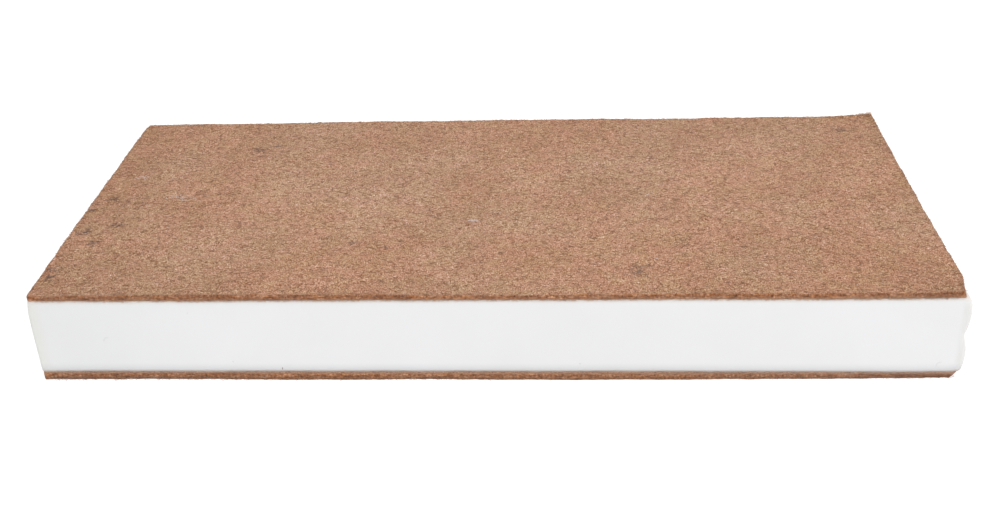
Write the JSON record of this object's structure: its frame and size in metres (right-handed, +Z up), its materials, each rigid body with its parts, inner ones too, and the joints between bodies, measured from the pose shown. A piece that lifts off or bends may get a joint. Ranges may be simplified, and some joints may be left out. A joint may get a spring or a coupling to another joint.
{
  "type": "chalkboard eraser",
  "caption": "Flat handheld chalkboard eraser: a white foam pad between sheets of brown needle felt, one glued to each face.",
  "frame": {"origin": "middle of the lower felt's underside, the face that rests on a ledge", "axes": "+X along the length, +Y across the width towards the back, +Z up through the stack from lower felt to upper felt"},
  "size_m": [0.1513, 0.072, 0.016],
  "materials": {
    "felt": "matte",
    "foam": "matte",
    "glue": "satin"
  },
  "bodies": {
    "root": {"upper_felt": "felt", "upper_glue_film": "glue", "foam_core": "foam", "lower_glue_film": "glue", "lower_felt": "felt"}
  },
  "joints": []
}
